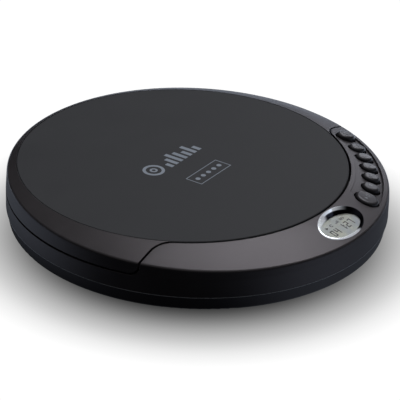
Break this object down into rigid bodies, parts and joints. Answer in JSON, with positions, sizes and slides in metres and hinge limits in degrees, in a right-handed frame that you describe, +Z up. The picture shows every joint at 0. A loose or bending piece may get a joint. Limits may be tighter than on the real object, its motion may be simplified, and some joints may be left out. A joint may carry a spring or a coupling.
{
  "type": "portable cd player",
  "caption": "Low round disc player with a hinged lid, an oval display, a row of oval keys on a sloping shoulder and a battery compartment.",
  "frame": {"origin": "on the round body's axis, in the plane that the feet stand on", "axes": "+Z up, +Y towards the lid hinge, -Y towards the display and keys, +X to the right"},
  "size_m": [0.14, 0.14, 0.0277],
  "materials": {
    "case_plastic": "satin metallic paint, dark taupe",
    "lid_ring_plastic": "satin metallic paint, dark taupe",
    "panel_plastic": "fine-grained matt dark grey",
    "base_plastic": "fine-textured black",
    "key_plastic": "satin metallic paint",
    "inner_plastic": "plain moulded black",
    "bezel_chrome": "bright plated",
    "window_clear": "clear",
    "lcd_glass": "pale grey-green",
    "foot_rubber": "matt",
    "damper_rubber": "soft matt",
    "steel": "zinc plated",
    "bright_steel": "ground",
    "spring_steel": "drawn wire",
    "board_green": "solder mask",
    "chip_black": "moulded",
    "capacitor_can": "sleeved can",
    "cell_jacket": "printed film sleeve",
    "wire_sleeve": "insulation",
    "gear_plastic": "natural acetal",
    "lens_glass": "coated"
  },
  "bodies": {
    "case": {"bottom_case": "base_plastic", "top_case": "case_plastic", "feet": "foot_rubber", "case_screws": "steel", "hinge_pin": "bright_steel", "lid_spring": "spring_steel", "latch_spring": "spring_steel", "lid_switch": "inner_plastic", "display_bezel": "bezel_chrome", "display_window": "window_clear", "lcd_module": "lcd_glass", "key_switches": "inner_plastic", "main_board": "board_green", "board_screws": "steel", "control_chips": "chip_black", "capacitors": "capacitor_can", "crystal": "bright_steel", "headphone_jack": "inner_plastic", "power_jack": "inner_plastic", "battery_cells": "cell_jacket", "battery_springs": "spring_steel", "battery_contacts": "bright_steel", "battery_wires": "wire_sleeve", "motor_wires": "wire_sleeve", "mech_chassis": "steel", "chassis_dampers": "damper_rubber", "chassis_screws": "steel", "guide_rods": "bright_steel", "spindle_motor": "steel", "feed_motor": "steel"},
    "lid": {"lid_shell": "lid_ring_plastic", "lid_panel": "panel_plastic"},
    "latch": {"latch_slider": "gear_plastic"},
    "spindle": {"spindle_shaft": "bright_steel", "disc_hub": "inner_plastic"},
    "sled": {"pickup_sled": "inner_plastic", "sled_rack": "gear_plastic"},
    "focus": {"lens_holder": "inner_plastic", "lens": "lens_glass"},
    "feed_gear": {"feed_gear": "gear_plastic"},
    "pinion": {"motor_pinion": "gear_plastic"},
    "battery_door": {"battery_door": "base_plastic"},
    "play_key": {"play_key": "key_plastic"},
    "stop_key": {"stop_key": "key_plastic"},
    "back_key": {"back_key": "key_plastic"},
    "forward_key": {"forward_key": "key_plastic"},
    "mode_key": {"mode_key": "key_plastic"},
    "bass_key": {"bass_key": "key_plastic"},
    "open_key": {"open_key": "key_plastic"},
    "hub_pawl_back": {"hub_pawl_back": "gear_plastic"},
    "hub_pawl_left": {"hub_pawl_left": "gear_plastic"},
    "hub_pawl_right": {"hub_pawl_right": "gear_plastic"}
  },
  "joints": [
    {"name": "lid_hinge", "type": "hinge", "parent": "case", "child": "lid", "pos_m": [0, 0.067, 0.018], "axis": [-1, 0, 0], "range_deg": [0, 70]},
    {"name": "play_key_press", "type": "slide", "parent": "case", "child": "play_key", "axis": [0, 0, -1], "range_m": [0, 0.0006], "stiffness_N_per_m": 300},
    {"name": "stop_key_press", "type": "slide", "parent": "case", "child": "stop_key", "axis": [0, 0, -1], "range_m": [0, 0.0006], "stiffness_N_per_m": 300},
    {"name": "back_key_press", "type": "slide", "parent": "case", "child": "back_key", "axis": [0, 0, -1], "range_m": [0, 0.0006], "stiffness_N_per_m": 300},
    {"name": "forward_key_press", "type": "slide", "parent": "case", "child": "forward_key", "axis": [0, 0, -1], "range_m": [0, 0.0006], "stiffness_N_per_m": 300},
    {"name": "mode_key_press", "type": "slide", "parent": "case", "child": "mode_key", "axis": [0, 0, -1], "range_m": [0, 0.0006], "stiffness_N_per_m": 300},
    {"name": "bass_key_press", "type": "slide", "parent": "case", "child": "bass_key", "axis": [0, 0, -1], "range_m": [0, 0.0006], "stiffness_N_per_m": 300},
    {"name": "open_key_press", "type": "slide", "parent": "case", "child": "open_key", "axis": [0, 0, -1], "range_m": [0, 0.0015]},
    {"name": "latch_slide", "type": "slide", "parent": "case", "child": "latch", "axis": [0, 1, 0], "range_m": [0, 0.0015]},
    {"name": "spindle_spin", "type": "hinge", "parent": "case", "child": "spindle", "pos_m": [0, 0.0068, 0.0215], "axis": [0, 0, 1], "continuous": true},
    {"name": "hub_pawl_back_slide", "type": "slide", "parent": "spindle", "child": "hub_pawl_back", "axis": [0, -1, 0], "range_m": [0, 0.0005]},
    {"name": "hub_pawl_left_slide", "type": "slide", "parent": "spindle", "child": "hub_pawl_left", "axis": [0.866, 0.5, 0], "range_m": [0, 0.0005]},
    {"name": "hub_pawl_right_slide", "type": "slide", "parent": "spindle", "child": "hub_pawl_right", "axis": [-0.866, 0.5, 0], "range_m": [0, 0.0005]},
    {"name": "sled_slide", "type": "slide", "parent": "case", "child": "sled", "axis": [-1, 0, 0], "range_m": [0, 0.0315]},
    {"name": "lens_focus", "type": "slide", "parent": "sled", "child": "focus", "axis": [0, 0, 1], "range_m": [-0.0005, 0.0005]},
    {"name": "feed_gear_spin", "type": "hinge", "parent": "case", "child": "feed_gear", "pos_m": [-0.027, -0.0135, 0.008], "axis": [0, 0, 1], "range_deg": [0, 602]},
    {"name": "pinion_spin", "type": "hinge", "parent": "case", "child": "pinion", "pos_m": [-0.01852, -0.02127, 0.008], "axis": [0, 0, 1], "range_deg": [-2175, 0]},
    {"name": "battery_door_hinge", "type": "hinge", "parent": "case", "child": "battery_door", "pos_m": [0, 0.0242, 0.0021], "axis": [-1, 0, 0], "range_deg": [0, 95]}
  ],
  "couplings": [
    {"joint": "latch_slide", "follows": "open_key_press", "ratio": 1},
    {"joint": "feed_gear_spin", "follows": "sled_slide", "rad_per_m": 333.33},
    {"joint": "pinion_spin", "follows": "sled_slide", "rad_per_m": -1200}
  ]
}
